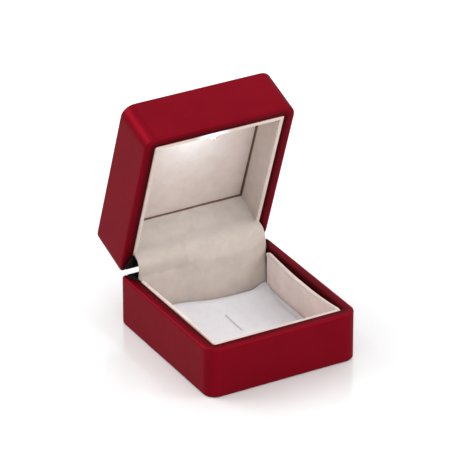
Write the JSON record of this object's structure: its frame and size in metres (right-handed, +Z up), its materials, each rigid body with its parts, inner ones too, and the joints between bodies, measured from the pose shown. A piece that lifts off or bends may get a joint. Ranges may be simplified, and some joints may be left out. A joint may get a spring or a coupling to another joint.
{
  "type": "jewelry gift box",
  "caption": "Square hinged gift box with softened red shells, velvet lining, a slit pad and a lamp in the lid, shown open.",
  "frame": {"origin": "centre of the base's flat underside", "axes": "+Z up, -Y towards the side that opens (the front), +X to the right as seen from the front"},
  "size_m": [0.065, 0.0908, 0.0941],
  "materials": {
    "red_shell": "soft-touch satin red",
    "velvet": "short-pile ivory velvet",
    "card": "grey-brown board",
    "foam": "white foam, under the pad cover",
    "black_hinge": "satin black",
    "hinge_steel": "plated spring steel",
    "lamp": "clear white dome, lit",
    "green_board": "circuit board with green lacquer",
    "wire": "red sleeve",
    "black_plastic": "moulded black",
    "cell_steel": "plain coin cell can",
    "clip_steel": "sprung contact strip",
    "white_plastic": "moulded white"
  },
  "bodies": {
    "base": {"base_shell": "red_shell", "base_front_panel": "velvet", "base_left_panel": "velvet", "base_right_panel": "velvet", "base_rear_panel": "velvet", "pad_board": "card", "pad_foam": "foam", "pad_cover": "velvet", "hinge_lower": "black_hinge", "hinge_pin": "hinge_steel", "hinge_spring_left": "hinge_steel", "hinge_spring_right": "hinge_steel", "hinge_screws_lower": "hinge_steel"},
    "lid": {"hinge_upper": "black_hinge", "hinge_screws_upper": "hinge_steel", "lid_shell": "red_shell", "lid_front_panel": "velvet", "lid_left_panel": "velvet", "lid_right_panel": "velvet", "lid_ceiling_panel": "velvet", "velvet_flap": "velvet", "led": "lamp", "led_board": "green_board", "led_wires": "wire", "circuit_board": "green_board", "resistor": "black_plastic", "battery_holder": "black_plastic", "coin_cell": "cell_steel", "battery_clip": "clip_steel", "switch_body": "black_plastic", "switch_wires": "wire"},
    "plunger": {"switch_plunger": "white_plastic"}
  },
  "joints": [
    {"name": "lid_hinge", "type": "hinge", "parent": "base", "child": "lid", "pos_m": [0, 0.03455, 0.0207], "axis": [1, 0, 0], "range_deg": [0, 70.6], "deforming": ["hinge_spring_left", "hinge_spring_right"]},
    {"name": "plunger_slide", "type": "slide", "parent": "lid", "child": "plunger", "axis": [0, 0.9432, 0.3322], "range_m": [0, 0.001]}
  ],
  "couplings": [
    {"joint": "plunger_slide", "follows": "lid_hinge", "m_per_rad": 0.000811}
  ]
}
